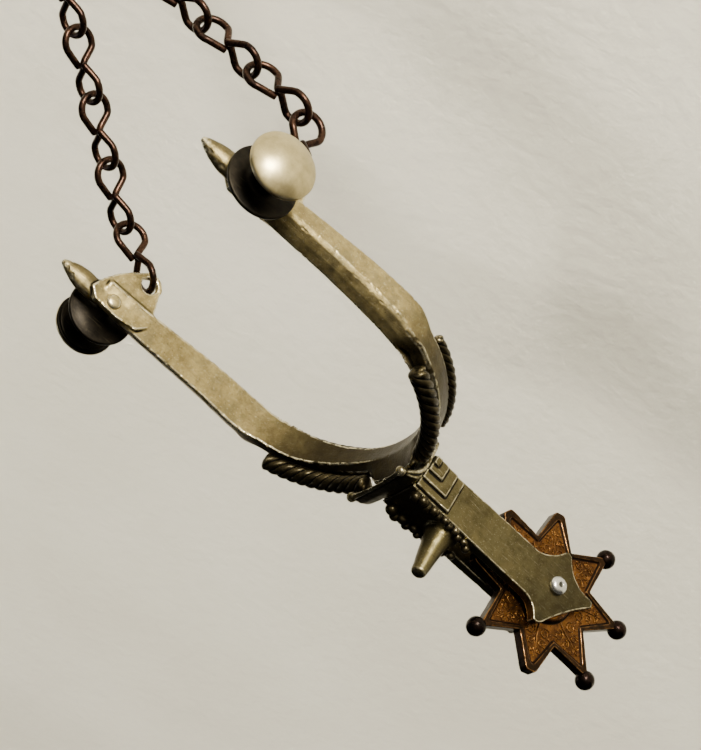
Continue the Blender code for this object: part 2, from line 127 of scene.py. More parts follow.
def smooth_path(points, per=8, closed=False):
    """Catmull-Rom curve through the points."""
    p = [Vector(q) for q in points]
    n = len(p)
    out = []
    for i in range(n if closed else n - 1):
        if closed:
            a, b, c, d = p[(i - 1) % n], p[i], p[(i + 1) % n], p[(i + 2) % n]
        else:
            b, c = p[i], p[i + 1]
            a = p[i - 1] if i > 0 else b * 2 - c
            d = p[i + 2] if i + 2 < n else c * 2 - b
        for k in range(per):
            t = k / per
            out.append(0.5 * ((2 * b) + (c - a) * t + (2 * a - 5 * b + 4 * c - d) * t * t + (3 * b - a - 3 * c + d) * t ** 3))
    if not closed:
        out.append(p[-1])
    return out


def tube_data(path, radius, seg=16, closed=False, ends=None):
    """Round wire along a path, with rotation-minimising rings. ends rounds the last few rings in."""
    n = len(path)
    tan = []
    for i in range(n):
        a = path[(i - 1) % n] if closed or i > 0 else path[i]
        b = path[(i + 1) % n] if closed or i < n - 1 else path[i]
        tan.append((b - a).normalized())
    u = tan[0].orthogonal().normalized()
    frames = []
    for i in range(n):
        if i:
            q = tan[i - 1].rotation_difference(tan[i])
            u = (q @ u)
        u = (u - tan[i] * u.dot(tan[i])).normalized()
        frames.append((u.copy(), tan[i].cross(u)))
    twist = 0.0
    if closed:
        q = tan[-1].rotation_difference(tan[0])
        last = q @ frames[-1][0]
        twist = math.atan2(last.dot(frames[0][1]), last.dot(frames[0][0]))
    rings = []
    for i in range(n):
        a0 = -twist * i / n
        r = radius(i / (n - 1)) if callable(radius) else radius
        fu, fv = frames[i]
        rings.append([path[i] + fu * (r * math.cos(a0 + 2 * math.pi * k / seg)) + fv * (r * math.sin(a0 + 2 * math.pi * k / seg)) for k in range(seg)])
    if ends and not closed:
        c = ends
        first = [path[0] + (q - path[0]) * (1 - c / (radius if not callable(radius) else 1.0)) - tan[0] * 0.0 for q in rings[0]]
        last = [path[-1] + (q - path[-1]) * (1 - c / (radius if not callable(radius) else 1.0)) for q in rings[-1]]
        shift0, shift1 = -tan[0] * c * 0.7, tan[-1] * c * 0.7
        rings = [[q + shift0 for q in first]] + rings + [[q + shift1 for q in last]]
    return loft_data(rings, True, closed)


def bake_modifiers(o):
    dg = bpy.context.evaluated_depsgraph_get()
    dg.update()
    me = bpy.data.meshes.new_from_object(o.evaluated_get(dg))
    o.modifiers.clear()
    old = o.data
    o.data = me
    bpy.data.meshes.remove(old)
    return o


def cut(o, *cutters):
    """Subtracts closed cutters from a closed mesh."""
    for c in cutters:
        m = o.modifiers.new("cut", 'BOOLEAN')
        m.operation, m.solver, m.object = 'DIFFERENCE', 'EXACT', c
    bake_modifiers(o)
    for c in cutters:
        bpy.data.objects.remove(c, do_unlink=True)
    return o


def gather(name, objects):
    """Several meshes as one object."""
    bm = bmesh.new()
    for o in objects:
        bm.from_mesh(o.data)
        bpy.data.objects.remove(o, do_unlink=True)
    me = bpy.data.meshes.new(name)
    bm.to_mesh(me)
    bm.free()
    me.shade_smooth()
    o = bpy.data.objects.new(name, me)
    SCENE.collection.objects.link(o)
    return o


def fuse(name, objects, voxel, smooth=3):
    """Overlapping closed meshes become one skin with the small soft fillets that a casting has."""
    o = gather(name, objects)
    m = o.modifiers.new("fuse", 'REMESH')
    m.mode, m.voxel_size, m.adaptivity = 'VOXEL', voxel * MM, 0.0
    m.use_smooth_shade = True
    if smooth:
        s = o.modifiers.new("soften", 'SMOOTH')
        s.factor, s.iterations = 0.5, smooth
    bake_modifiers(o)
    o.data.shade_smooth()
    return o


def arrays(me):
    n, e = len(me.vertices), len(me.edges)
    co, no, ed = np.zeros(n * 3, np.float32), np.zeros(n * 3, np.float32), np.zeros(e * 2, np.int32)
    me.vertices.foreach_get("co", co)
    me.vertices.foreach_get("normal", no)
    me.edges.foreach_get("vertices", ed)
    return co.reshape(-1, 3), no.reshape(-1, 3), ed.reshape(-1, 2)


def wear(o, spread=4):
    """Stores how convex the surface is at each point: worn edges are positive, grooves negative. Unit: bend per millimetre."""
    me = o.data
    co, no, ed = arrays(me)
    a, b = ed[:, 0], ed[:, 1]
    d = (co[b] - co[a]) / MM
    length2 = np.maximum((d * d).sum(1), 1e-6)
    k = ((no[b] - no[a]) * d).sum(1) / length2
    total, count = np.zeros(len(co)), np.zeros(len(co))
    for s in (a, b):
        np.add.at(total, s, k)
        np.add.at(count, s, 1)
    v = total / np.maximum(count, 1)
    for _ in range(spread):
        t = np.zeros(len(co))
        np.add.at(t, a, v[b])
        np.add.at(t, b, v[a])
        v = 0.5 * v + 0.5 * t / np.maximum(count, 1)
    at = me.attributes.new("edge_wear", "FLOAT", "POINT")
    at.data.foreach_set("value", v.astype(np.float32))
    return o


def hammer(o, amount, size, seed=0.0, edge_nicks=0.0):
    """Small unevenness of hand finishing, and nicks where edges stand out."""
    me = o.data
    co, no, _ = arrays(me)
    at = me.attributes.get("edge_wear")
    ew = np.zeros(len(co), np.float32)
    if at:
        at.data.foreach_get("value", ew)
    out = co.copy()
    for i in range(len(co)):
        p = Vector(co[i]) / (size * MM)
        h = noise.noise(p + Vector((seed, 0, 0))) * amount
        if edge_nicks and ew[i] > 0.25:
            q = noise.noise(Vector(co[i]) / (1.1 * MM) + Vector((seed, 5.0, 1.0)))
            if q > 0.18:
                h -= edge_nicks * min(1.0, (q - 0.18) * 4)
        out[i] += no[i] * h * MM
    me.vertices.foreach_set("co", out.astype(np.float32).ravel())
    me.update()
    return o


# ---------------------------------------------------------------- materials
def ramp(nt, value, lo, hi, name=None):
    n = nt.nodes.new("ShaderNodeMapRange")
    n.interpolation_type = 'SMOOTHSTEP'
    n.inputs["From Min"].default_value, n.inputs["From Max"].default_value = lo, hi
    nt.links.new(value, n.inputs["Value"])
    return n.outputs["Result"]


def mathn(nt, op, a, b=None):
    n = nt.nodes.new("ShaderNodeMath")
    n.operation = op
    for s, v in zip(n.inputs, (a, b)):
        if v is None:
            continue
        if hasattr(v, "is_linked"):
            nt.links.new(v, s)
        else:
            s.default_value = v
    return n.outputs[0]


def mixc(nt, fac, a, b):
    n = nt.nodes.new("ShaderNodeMix")
    n.data_type = 'RGBA'
    for s, v in ((n.inputs[0], fac), (n.inputs[6], a), (n.inputs[7], b)):
        if hasattr(v, "is_linked"):
            nt.links.new(v, s)
        else:
            s.default_value = (*v, 1.0) if isinstance(v, tuple) else v
    return n.outputs[2]


def noisen(nt, coord, scale, detail=4.0, rough=0.55, stretch=None):
    if stretch:
        mp = nt.nodes.new("ShaderNodeMapping")
        mp.inputs["Scale"].default_value = stretch
        nt.links.new(coord, mp.inputs["Vector"])
        coord = mp.outputs[0]
    n = nt.nodes.new("ShaderNodeTexNoise")
    n.inputs["Scale"].default_value = scale
    n.inputs["Detail"].default_value = detail
    n.inputs["Roughness"].default_value = rough
    nt.links.new(coord, n.inputs["Vector"])
    return n.outputs["Fac"]


def aged_metal_and_painted_shade(name, base, shade, worn, grime_and_shade, rough=(0.34, 0.52), worn_rough=0.2, metallic=0.92, mottle=90, grain=2200, grain_depth=0.02,
               wear_from=(0.16, 0.5), cavity=(-0.08, -0.45), mottle_range=(0.36, 0.64), tint=None, scratch=0.5, dots=0.0, painted_shade_ends=()):
    """Metal with a patina: mottled colour, dark grooves, bright rubbed edges, pitted grain and fine scratches, and
    optionally painted shade that darkens the part towards chosen ends.
    """
    m = bpy.data.materials.new(name)
    m.use_nodes = True
    nt = m.node_tree
    b = nt.nodes["Principled BSDF"]
    tc = nt.nodes.new("ShaderNodeTexCoord").outputs["Object"]
    ew = nt.nodes.new("ShaderNodeAttribute")
    ew.attribute_name = "edge_wear"
    ew = ew.outputs["Fac"]
    big = noisen(nt, tc, mottle, 5.0, 0.6)
    mid = noisen(nt, tc, mottle * 5.5, 6.0, 0.65)
    fine = noisen(nt, tc, grain, 3.0, 0.7)
    both = mathn(nt, 'ADD', mathn(nt, 'MULTIPLY', big, 0.55), mathn(nt, 'MULTIPLY', mid, 0.45))
    fac = ramp(nt, both, *mottle_range)
    col = mixc(nt, fac, shade, base)
    if tint:
        tcol = mixc(nt, ramp(nt, noisen(nt, tc, mottle * 2.3, 3.0), 0.5, 0.66), (0, 0, 0), (1, 1, 1))
        sep = nt.nodes.new("ShaderNodeSeparateColor")
        nt.links.new(tcol, sep.inputs[0])
        col = mixc(nt, mathn(nt, 'MULTIPLY', sep.outputs[0], 0.5), col, tint)
    if dots:
        pits = ramp(nt, fine, 0.60, 0.72)
        col = mixc(nt, mathn(nt, 'MULTIPLY', pits, dots), col, grime_and_shade)
        lights = ramp(nt, fine, 0.42, 0.30)
        col = mixc(nt, mathn(nt, 'MULTIPLY', lights, dots * 0.8), col, worn)
    lines = noisen(nt, tc, 260, 3.0, 0.6, stretch=(9.0, 0.6, 9.0))
    col = mixc(nt, mathn(nt, 'MULTIPLY', ramp(nt, lines, 0.60, 0.74), 0.22 * scratch), col, worn)
    col = mixc(nt, mathn(nt, 'MULTIPLY', ramp(nt, lines, 0.42, 0.30), 0.30 * scratch), col, grime_and_shade)
    for lo, hi, amount in painted_shade_ends:
        # painted shade: the part is made darker towards one end, from lo to hi along its length
        sp = nt.nodes.new("ShaderNodeSeparateXYZ")
        nt.links.new(tc, sp.inputs[0])
        wander = mathn(nt, 'ADD', sp.outputs[1], mathn(nt, 'MULTIPLY', mathn(nt, 'SUBTRACT', big, 0.5), 0.008))
        col = mixc(nt, mathn(nt, 'MULTIPLY', ramp(nt, wander, lo * MM, hi * MM), amount), col, grime_and_shade)
    groove = ramp(nt, ew, *cavity)
    col = mixc(nt, groove, col, grime_and_shade)
    broken = ramp(nt, noisen(nt, tc, 420, 5.0, 0.7), 0.38, 0.6)
    edge = mathn(nt, 'MULTIPLY', ramp(nt, ew, *wear_from), broken)
    col = mixc(nt, edge, col, worn)
    nt.links.new(col, b.inputs["Base Color"])
    r = mathn(nt, 'ADD', mathn(nt, 'MULTIPLY', mid, rough[1] - rough[0]), rough[0])
    r = mathn(nt, 'ADD', r, mathn(nt, 'MULTIPLY', groove, 0.25))
    r = mathn(nt, 'SUBTRACT', r, mathn(nt, 'MULTIPLY', edge, max(0.0, (rough[0] + rough[1]) / 2 - worn_rough)))
    nt.links.new(r, b.inputs["Roughness"])
    b.inputs["Metallic"].default_value = metallic
    h = mathn(nt, 'ADD', mathn(nt, 'MULTIPLY', fine, 1.0), mathn(nt, 'MULTIPLY', lines, scratch))
    h = mathn(nt, 'ADD', h, mathn(nt, 'MULTIPLY', mid, 0.9))
    bump = nt.nodes.new("ShaderNodeBump")
    bump.inputs["Strength"].default_value = 1.0
    bump.inputs["Distance"].default_value = grain_depth * MM
    nt.links.new(h, bump.inputs["Height"])
    nt.links.new(bump.outputs[0], b.inputs["Normal"])
    return m


# painted shade: the band is made darker towards the heel and towards the arm ends round the buttons
BRASS = aged_metal_and_painted_shade("aged_nickel_brass_with_painted_shade", (0.52, 0.415, 0.185), (0.24, 0.188, 0.082), (0.88, 0.80, 0.56), (0.012, 0.009, 0.005), rough=(0.30, 0.50), grain=1500,
                   grain_depth=0.06, dots=0.5, tint=(0.24, 0.205, 0.11), wear_from=(0.20, 0.55), scratch=0.7, painted_shade_ends=((8.0, -24.0, 0.93), (44.0, 51.0, 0.60)))
# painted shade: the shank is made darker towards the rowel cheek
SHANKM = aged_metal_and_painted_shade("aged_shank_brass_with_painted_shade", (0.115, 0.095, 0.042), (0.058, 0.048, 0.021), (0.62, 0.56, 0.38), (0.006, 0.005, 0.003), rough=(0.28, 0.46), grain=1800,
                    grain_depth=0.035, tint=(0.11, 0.095, 0.045), wear_from=(0.34, 1.0), cavity=(-0.06, -0.38), dots=0.25, scratch=1.0, painted_shade_ends=((-66.0, -92.0, 0.50),))
# painted shade: the ropes and bead rows take a near-black copy of the brass
TRIM_SHADE = aged_metal_and_painted_shade("rope_trim_painted_shade", (0.060, 0.048, 0.024), (0.022, 0.018, 0.010), (0.42, 0.36, 0.22), (0.003, 0.002, 0.001), rough=(0.24, 0.42), grain_depth=0.015,
                  wear_from=(0.62, 1.5), cavity=(-0.06, -0.5), mottle=160)
NICKEL = aged_metal_and_painted_shade("satin_nickel", (0.66, 0.56, 0.31), (0.42, 0.345, 0.18), (0.92, 0.87, 0.70), (0.03, 0.025, 0.014), rough=(0.27, 0.38), grain=2600, grain_depth=0.010,
                    mottle=55, wear_from=(0.35, 0.9), scratch=0.3, dots=0.12)
# painted shadow: near-black for the button parts that lie in the dome's shadow
SHADOW_BLACK = aged_metal_and_painted_shade("button_painted_shadow", (0.016, 0.013, 0.009), (0.006, 0.005, 0.004), (0.34, 0.29, 0.17), (0.002, 0.002, 0.001), rough=(0.32, 0.48), grain_depth=0.012,
                    wear_from=(0.7, 1.8))
COPPER = aged_metal_and_painted_shade("antique_copper", (0.155, 0.064, 0.015), (0.055, 0.022, 0.006), (0.50, 0.28, 0.10), (0.007, 0.003, 0.001), rough=(0.20, 0.38), grain_depth=0.014,
                    mottle=210, mottle_range=(0.42, 0.60), wear_from=(1.1, 2.6), cavity=(-0.10, -0.6))
SCROLL = aged_metal_and_painted_shade("copper_scroll", (0.21, 0.095, 0.024), (0.08, 0.034, 0.009), (0.55, 0.33, 0.13), (0.010, 0.005, 0.002), rough=(0.18, 0.34), grain_depth=0.010,
                    mottle=260, mottle_range=(0.42, 0.60), wear_from=(4.6, 9.0), cavity=(-0.6, -2.4))
RIM = aged_metal_and_painted_shade("dark_star_rim", (0.034, 0.016, 0.006), (0.010, 0.006, 0.003), (0.24, 0.12, 0.045), (0.004, 0.003, 0.001), rough=(0.26, 0.40), grain_depth=0.012,
                 mottle=220, wear_from=(0.45, 1.4), cavity=(-0.10, -0.6))
BALLM = aged_metal_and_painted_shade("blackened_ball", (0.016, 0.008, 0.006), (0.006, 0.004, 0.003), (0.15, 0.07, 0.04), (0.003, 0.002, 0.001), rough=(0.18, 0.32), grain_depth=0.012,
                   mottle=300, wear_from=(1.2, 3.0))
PIN = aged_metal_and_painted_shade("bright_aluminium_pin", (0.80, 0.80, 0.77), (0.52, 0.52, 0.50), (0.95, 0.95, 0.93), (0.06, 0.06, 0.05), rough=(0.14, 0.28), grain_depth=0.008,
                 mottle=300, wear_from=(0.8, 2.0))
CHAIN = aged_metal_and_painted_shade("dark_copper_wire", (0.060, 0.030, 0.019), (0.016, 0.009, 0.007), (0.46, 0.26, 0.15), (0.003, 0.002, 0.001), rough=(0.20, 0.38), grain_depth=0.014,
                   mottle=180, wear_from=(1.35, 2.2), cavity=(-0.2, -1.0))


def dress(o, mat, body, slot, *nodes, spread=4):
    if "edge_wear" not in o.data.attributes:
        wear(o, spread)
    o.data.materials.clear()
    o.data.materials.append(mat)
    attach(o, body)
    if nodes:
        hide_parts(*nodes)
    return o


# ---------------------------------------------------------------- heel band
BAND_R, BAND_HEEL_DEPTH, ARM_LEN = 35.0, 33.0, 47.0
BAND_T_HEEL, BAND_T_ARM, BAND_H_MID, BAND_H_END, ARM_LEAN = 4.5, 6.0, 11.2, 7.4, 13.0
TAB_X, TAB_T, TAB_R, TAB_HOLE_R = 35.4, 2.4, 3.8, 2.35
TAB_HOLE = {1: (36.2, -11.0), -1: (38.2, -9.0)}


def smoothstep(a, b, t):
    t = min(1.0, max(0.0, (t - a) / (b - a)))
    return t * t * (3 - 2 * t)


def band_plan(n, m):
    out = []
    for i in range(n + 1):
        a = math.radians(90.0 * i / n)
        nx, ny = math.sin(a) / BAND_R, -math.cos(a) / BAND_HEEL_DEPTH
        k = math.hypot(nx, ny)
        out.append((BAND_R * math.sin(a), -BAND_HEEL_DEPTH * math.cos(a), nx / k, ny / k))
    for i in range(1, m + 1):
        y = ARM_LEN * i / m
        out.append((BAND_R - 0.5 * (y / ARM_LEN) ** 2, y, 1.0, 0.02 * y / ARM_LEN))
    return out


def band_section(x, y, nx, ny):
    fr = smoothstep(-31.0, -4.0, y)
    end = max(0.0, y / ARM_LEN)
    t = BAND_T_HEEL + (BAND_T_ARM - BAND_T_HEEL) * fr
    h = BAND_H_MID + (BAND_H_END - BAND_H_MID) * end
    up = 1.3 + (h / 2 - 0.5 - 1.3) * smoothstep(-34.0, -17.0, y)
    dn = 3.6 + (h / 2 - 0.5 - 3.6) * smoothstep(-32.0, -12.0, y)
    ho = 6.6 + (h - 6.6) * smoothstep(-11.5, -5.0, y)
    n1 = 1.7 + (0.6 - 1.7) * fr
    zc = 0.4 - 0.3 * smoothstep(-31.0, -15.0, y) + 1.7 * smoothstep(5.0, 40.0, y)
    lift = 1 - smoothstep(7.4, 11.0, x)
    n1, top = n1 + 0.9 * lift, ho / 2 + 4.0 * lift + 0.45 * (1 - smoothstep(-14.0, -10.0, y)) * (1 - lift)
    ch = 0.25 * h * smoothstep(-11.5, -2.0, y)
    lean = math.radians(2.0 + (ARM_LEAN - 2.0) * smoothstep(-20.0, 40.0, y))
    c, s = math.cos(lean), math.sin(lean)
    pts = []
    for a, b in ((0, -dn), (0, 0), (0, up), (n1, top), ((n1 + t) / 2, top + 0.12 - 0.4 * ch), (t - 0.7 - 0.5 * lift, top - 0.85 * ch), (t, top - 0.7 - ch), (t + 0.12, -0.3 * ch),
                 (t, -ho / 2 + 0.7), (t - 0.7, -ho / 2), (n1 - 0.9 * lift, -ho / 2)):
        n, z = a * c + b * s, -a * s + b * c + zc
        pts.append((x + nx * n, y + ny * n, z))
    return pts


def tab_outline(side):
    ty, tz = TAB_HOLE[side]
    pts = [(31.5, 1.0), (ty - 5.2, -4.6)]
    a0, a1 = math.radians(172), math.radians(330)
    for i in range(31):
        a = a0 + (a1 - a0) * i / 30
        pts.append((ty + TAB_R * math.cos(a), tz + TAB_R * math.sin(a)))
    return pts + [(ty + 5.6, tz + 0.2), (46.6, -5.2), (48.8, -1.4), (50.2, 3.0), (47.5, 5.6), (40.0, 5.8), (34.0, 4.6)]


def finial(side):
    """Leaf-shaped point with a soft ridge down its outer face."""
    rings = []
    n = 48
    keys = ((45.8, 2.5, 2.2), (49.5, 3.2, 2.5), (52.5, 3.2, 2.5), (55.5, 2.6, 2.0), (58.0, 1.6, 1.3), (59.8, 0.6, 0.6))
    ys = [k[0] for k in keys]
    for i in range(31):
        y = 45.8 + 14.0 * (1 - (1 - i / 30) ** 1.3)
        hz, hx = (float(np.interp(y, ys, [k[j] for k in keys])) for j in (1, 2))
        zc = 2.1 - 0.03 * (y - 46)
        ring = []
        for k in range(n):
            a = 2 * math.pi * k / n
            c, s = math.cos(a), math.sin(a)
            p = 0.82
            ring.append((side * 37.6 + hx * math.copysign(abs(c) ** p, c) * (1.0 if c * side > 0 else 0.9), y, zc + hz * math.copysign(abs(s) ** (2 - p), s)))
        rings.append(ring)
    return loft(f"finial_{side}", rings)


def make_band():
    plan = band_plan(72, 40)
    rings = [[(-q[0], q[1], q[2]) for q in band_section(*p)] for p in plan[1:]][::-1] + [band_section(*p) for p in plan]
    parts = [loft("band_bar", rings)]
    for side in (1, -1):
        a, b = sorted((side * (TAB_X + TAB_T / 2), side * (TAB_X - TAB_T / 2 + 0.35)))
        tab = prism("tab", tab_outline(side), a, b)
        hole = turned("hole", ((TAB_X - 4, TAB_HOLE_R), (TAB_X + 4, TAB_HOLE_R)), *TAB_HOLE[side], side, 48)
        parts.append(cut(tab, hole))
        parts.append(finial(side))
    o = fuse("heel_band_casting", parts, 0.27, 4)
    wear(o, 3)
    hammer(o, 0.07, 3.2, 3.0, edge_nicks=0.16)
    return dress(o, BRASS, "heel", "aged_brass", "heel_band")


make_band()

# ---------------------------------------------------------------- rope mouldings
def rope(name, side, rc, zc, rr, node):
    rings = []
    n, st = 56, 300
    arc = math.radians(67.0 - 17.5) * rc
    for i in range(st + 1):
        t = i / st
        a = math.radians(17.5 + (67.0 - 17.5) * t)
        turn = side * 2 * math.pi * (arc * t) / 11.5
        e = min(t, 1 - t) * arc
        taper = math.sqrt(max(0.0, 1 - (1 - min(1.0, e / 1.3)) ** 2)) * 0.96 + 0.04
        cx, cy = math.sin(a), -math.cos(a) * (BAND_HEEL_DEPTH + rc - BAND_R) / rc
        ring = []
        for k in range(n):
            b = 2 * math.pi * k / n
            r = rr * (0.80 + 0.21 * abs(math.cos(2.0 * (b - turn))) ** 0.7) * taper
            ring.append((side * (rc * cx + r * math.cos(b) * math.sin(a)), rc * cy - r * math.cos(b) * math.cos(a), zc + r * math.sin(b)))
        rings.append(ring)
    o = loft(name, rings)
    wear(o, 2)
    hammer(o, 0.05, 1.4, zc)
    # painted shade: the rope is coloured near-black
    return dress(o, TRIM_SHADE, "heel", "dark_trim", node)


for side, tag in ((1, "right"), (-1, "left")):
    rope(f"rope_edge_top_{tag}", side, 38.9, 6.65, 2.5, f"rope_top_{tag}")
    rope(f"rope_edge_bottom_{tag}", side, 38.9, -5.25, 1.5, f"rope_bottom_{tag}")

# ---------------------------------------------------------------- shank
SHANK_Z, RISE, SHANK_W_ROOT, SHANK_W_END, SLOT_HALF = (-1.6, 11.0), 1.1, 7.0, 6.1, 3.1
ROWEL_C = (0.0, -87.5, 2.65)
HORN_Y, HORN_H = -54.8, 14.0


def arc_between(p, q, sag, n=14):
    (py, pz), (qy, qz) = p, q
    my, mz = (py + qy) / 2, (pz + qz) / 2
    dy, dz = qy - py, qz - pz
    d = math.hypot(dy, dz)
    ny, nz = -dz / d, dy / d
    out = []
    for i in range(n):
        t = i / n
        k = 4 * t * (1 - t) * sag
        out.append((py + dy * t + ny * k, pz + dz * t + nz * k))
    return out


def shank_outline():
    z0, z1 = SHANK_Z
    top, rear, low = (-86.9, 15.4), (-99.0, -0.7), (-86.2, -8.2)
    pts = [(-39.4, z0 + RISE), (-39.4, z1), (-60.0, z1 + 0.1), (-77.6, z1)]
    pts += arc_between((-78.8, z1 + 0.05), (top[0] + 1.0, top[1]), 1.5)
    pts += [(top[0] + 1.0, top[1]), (top[0] - 0.6, top[1])]
    pts += arc_between((top[0] - 1.5, top[1] - 0.9), (rear[0], rear[1] + 1.0), 0.7)
    pts += [(rear[0], rear[1] + 1.0), (rear[0] + 0.3, rear[1] - 0.4)]
    pts += arc_between((rear[0] + 1.3, rear[1] - 0.7), (low[0] - 1.2, low[1] + 0.6), 1.9)
    pts += [(low[0] - 1.2, low[1] + 0.6), (low[0] - 0.3, low[1]), (low[0] + 0.7, low[1] + 0.4)]
    pts += arc_between((low[0] + 1.4, low[1] + 1.5), (-77.5, z0 + 0.1), 0.9)
    return pts + [(-76.0, z0), (-71.0, z0)]


def make_shank():
    parts = [prism("bar", shank_outline(), -SHANK_W_END, SHANK_W_END)]
    rings = []
    for y, rise, w in ((-39.2, RISE, SHANK_W_ROOT + 0.04), (-71.5, 0.0, SHANK_W_END + 0.04)):
        low = SHANK_Z[0] + rise - 0.04
        rings.append([(-w, y, low), (w, y, low), (w, y, SHANK_Z[1] + 0.12), (-w, y, SHANK_Z[1] + 0.12)])
    parts.append(loft("wedge", rings))
    for i, (w, y1, ztop) in enumerate(((7.75, -50.7, 10.3), (8.45, -47.9, 7.8), (9.15, -44.5, 5.2), (9.85, -41.7, 3.1))):
        parts.append(box(f"step_{i}", -w, w, y1, -39.7 - 0.07 * i, -0.1 + 0.3 * i, ztop))
    zc = ROWEL_C[2]
    slot_end = ROWEL_C[1] + 25.2 + 2.65 + 0.6
    for p in parts[:2]:
        cut(p, box("slot", -SLOT_HALF, SLOT_HALF, ROWEL_C[1] - 40, slot_end, zc - 40, zc + 40))
    cut(parts[0], turned("bore", ((-12, 1.9), (12, 1.9)), ROWEL_C[1], zc, 1, 32))
    o = fuse("shank_casting", parts, 0.2, 3)
    wear(o, 3)
    hammer(o, 0.05, 3.0, 11.0, edge_nicks=0.10)
    return dress(o, SHANKM, "heel", "aged_brass_shank", "shank")


make_shank()


# ---------------------------------------------------------------- collar, horn and beads
def collar_profile(z):
    zs = (-4.0, -2.6, 2.0, 6.5, 8.6, 10.4, 12.0, 13.2, 13.9)
    ws = (6.8, 8.3, 9.3, 10.2, 10.6, 11.0, 11.5, 11.7, 11.0)
    ys = (-38.6, -38.6, -38.6, -38.6, -38.2, -37.1, -35.6, -34.3, -33.5)
    rear = (-39.1, -39.1, -39.1, -39.1, -39.1, -39.1, -38.4, -36.6, -34.6)
    return float(np.interp(z, zs, ws)), float(np.interp(z, zs, ys)), float(np.interp(z, zs, rear))


def make_collar():
    rings = []
    for i in range(61):
        z = -4.0 + 17.9 * i / 60
        w, y, rear = collar_profile(z)
        t = 0.5 + 0.1 * smoothstep(8, 12, z)
        k = 0.55 + 0.25 * smoothstep(7, 9, z)
        n = 25
        front, back = [], []
        for j in range(n):
            x = -w + 2 * w * j / (n - 1)
            bow = k * (x / w) ** 2
            edge = 1 - 0.5 * smoothstep(0.86, 1.0, abs(x / w))
            front.append((x, y + t * edge + bow, z + 0.25 * bow))
            back.append((x, rear + 0.5 - 0.5 * edge + 0.3 * bow, z - 0.25 * bow))
        rings.append(front + back[::-1])
    parts = [loft("plate", rings)]
    # rolled lip along the top edge, swelling into a bead at each corner
    path = []
    for j in range(49):
        x = -11.4 + 22.8 * j / 48
        u = x / 11.5
        path.append(Vector((x, -33.75 + 0.8 * u * u, 13.55 + 0.2 * u * u)))
    parts.append(mesh_object("lip", *tube_data(path, lambda t: 0.55 + 0.75 * abs(2 * t - 1) ** 7, 20)))
    for s in (1, -1):
        parts.append(ball("bead", (s * 11.3, -33.1, 13.6), 1.35, 28))
        path = [Vector((s * x, y, z)) for x, y, z in ((11.2, -33.6, 13.2), (11.35, -35.2, 12.0), (10.9, -37.3, 9.8), (10.3, -38.4, 7.0), (9.3, -38.6, 2.2), (8.3, -38.6, -2.4), (6.6, -38.6, -3.9))]
        parts.append(mesh_object("rim", *tube_data(smooth_path(path, 10), 0.62, 16)))
    # path for a thin ridge down the middle; it is not added to the parts
    path = [Vector((0, -38.9 + 0.2, -3.0)), Vector((0, -38.0, 8.2)), Vector((0, -36.3, 10.8)), Vector((0, -34.2, 13.2))]
    o = fuse("collar_shield", parts, 0.17, 2)
    wear(o, 3)
    hammer(o, 0.04, 1.8, 21.0, edge_nicks=0.05)
    return dress(o, SHANKM, "heel", "aged_brass_shank", "shank_collar")


make_collar()


def make_horn():
    z0 = SHANK_Z[1] + 0.12
    keys = ((0.0, 5.4), (0.35, 5.2), (0.8, 4.75), (2.2, 4.1), (5.5, 3.4), (9.5, 2.8), (12.6, 2.36), (13.5, 2.2), (13.85, 2.02), (14.1, 1.7))
    rings = []
    n = 72
    for i in range(91):
        d = 14.1 * i / 90
        r = float(np.interp(d, [k[0] for k in keys], [k[1] for k in keys]))
        rings.append([(r * math.cos(2 * math.pi * k / n), HORN_Y + 0.15 * math.sin(d / 3) + 0.9 * r * math.sin(2 * math.pi * k / n), z0 + d) for k in range(n)])
    o = loft("horn_turned", rings)
    wear(o, 3)
    hammer(o, 0.05, 2.0, 31.0)
    return dress(o, SHANKM, "heel", "aged_brass_shank", "chap_guard_horn")


make_horn()


def make_beads(side, tag):
    parts = []
    z = SHANK_Z[1] + 0.75
    count = 11
    for i in range(count):
        t = i / (count - 1)
        big = 1.0 - smoothstep(0.0, 0.55, t)
        y = -42.0 - 19.4 * t
        x = side * (5.9 - 2.2 * max(0.0, (t - 0.55) / 0.45) ** 1.4 + (0.55 if i % 2 else -0.45))
        parts.append(ball("bead", (x, y, z + 0.35 * big + (0.15 if i % 2 else 0.0)), (1.15 if i % 2 else 1.28) + 0.45 * big, 24, (0.95, 1.0, 0.95)))
    path = [Vector((side * (5.8 - 2.2 * max(0.0, (t - 0.55) / 0.45) ** 1.4), -41.4 - 20.6 * t, z - 0.45)) for t in [k / 40 for k in range(41)]]
    parts.append(mesh_object("strip", *tube_data(path, 0.6, 14)))
    o = fuse(f"bead_strip_{tag}", parts, 0.14, 2)
    wear(o, 2)
    # painted shade: the bead strip is coloured near-black
    return dress(o, TRIM_SHADE, "heel", "dark_trim", f"bead_row_{tag}")


for side, tag in ((1, "right"), (-1, "left")):
    make_beads(side, tag)

# ---------------------------------------------------------------- rowel
BALL_R_C, TIP_R, NOTCH_R, ROWEL_T, PHASE, BALL_R, BALL_POINTS = 25.2, 23.0, 14.8, 3.0, 242.2, 2.65, (0, 1, 2, 4)


def star(notch, tip_in, widen, ball_half=0.95, blunt_half=1.75):
    pts = []
    for k in range(8):
        a, am = math.radians(PHASE - 45.0 * k), math.radians(PHASE - 45.0 * k + 22.5)
        isball = k in BALL_POINTS
        half = (ball_half if isball else blunt_half) * widen
        r = (BALL_R_C - BALL_R + 0.9 if isball else TIP_R) - tip_in
        u, v = (math.cos(a), math.sin(a)), (math.sin(a), -math.cos(a))
        pts.append((notch * math.cos(am), notch * math.sin(am)))
        c = 0.35 * half
        pts += [(u[0] * (r - c) - v[0] * half, u[1] * (r - c) - v[1] * half), (u[0] * r - v[0] * (half - c), u[1] * r - v[1] * (half - c)),
                (u[0] * r + v[0] * (half - c), u[1] * r + v[1] * (half - c)), (u[0] * (r - c) + v[0] * half, u[1] * (r - c) + v[1] * half)]
    return [(y + ROWEL_C[1], z + ROWEL_C[2]) for y, z in pts]


RECESS = 0.42


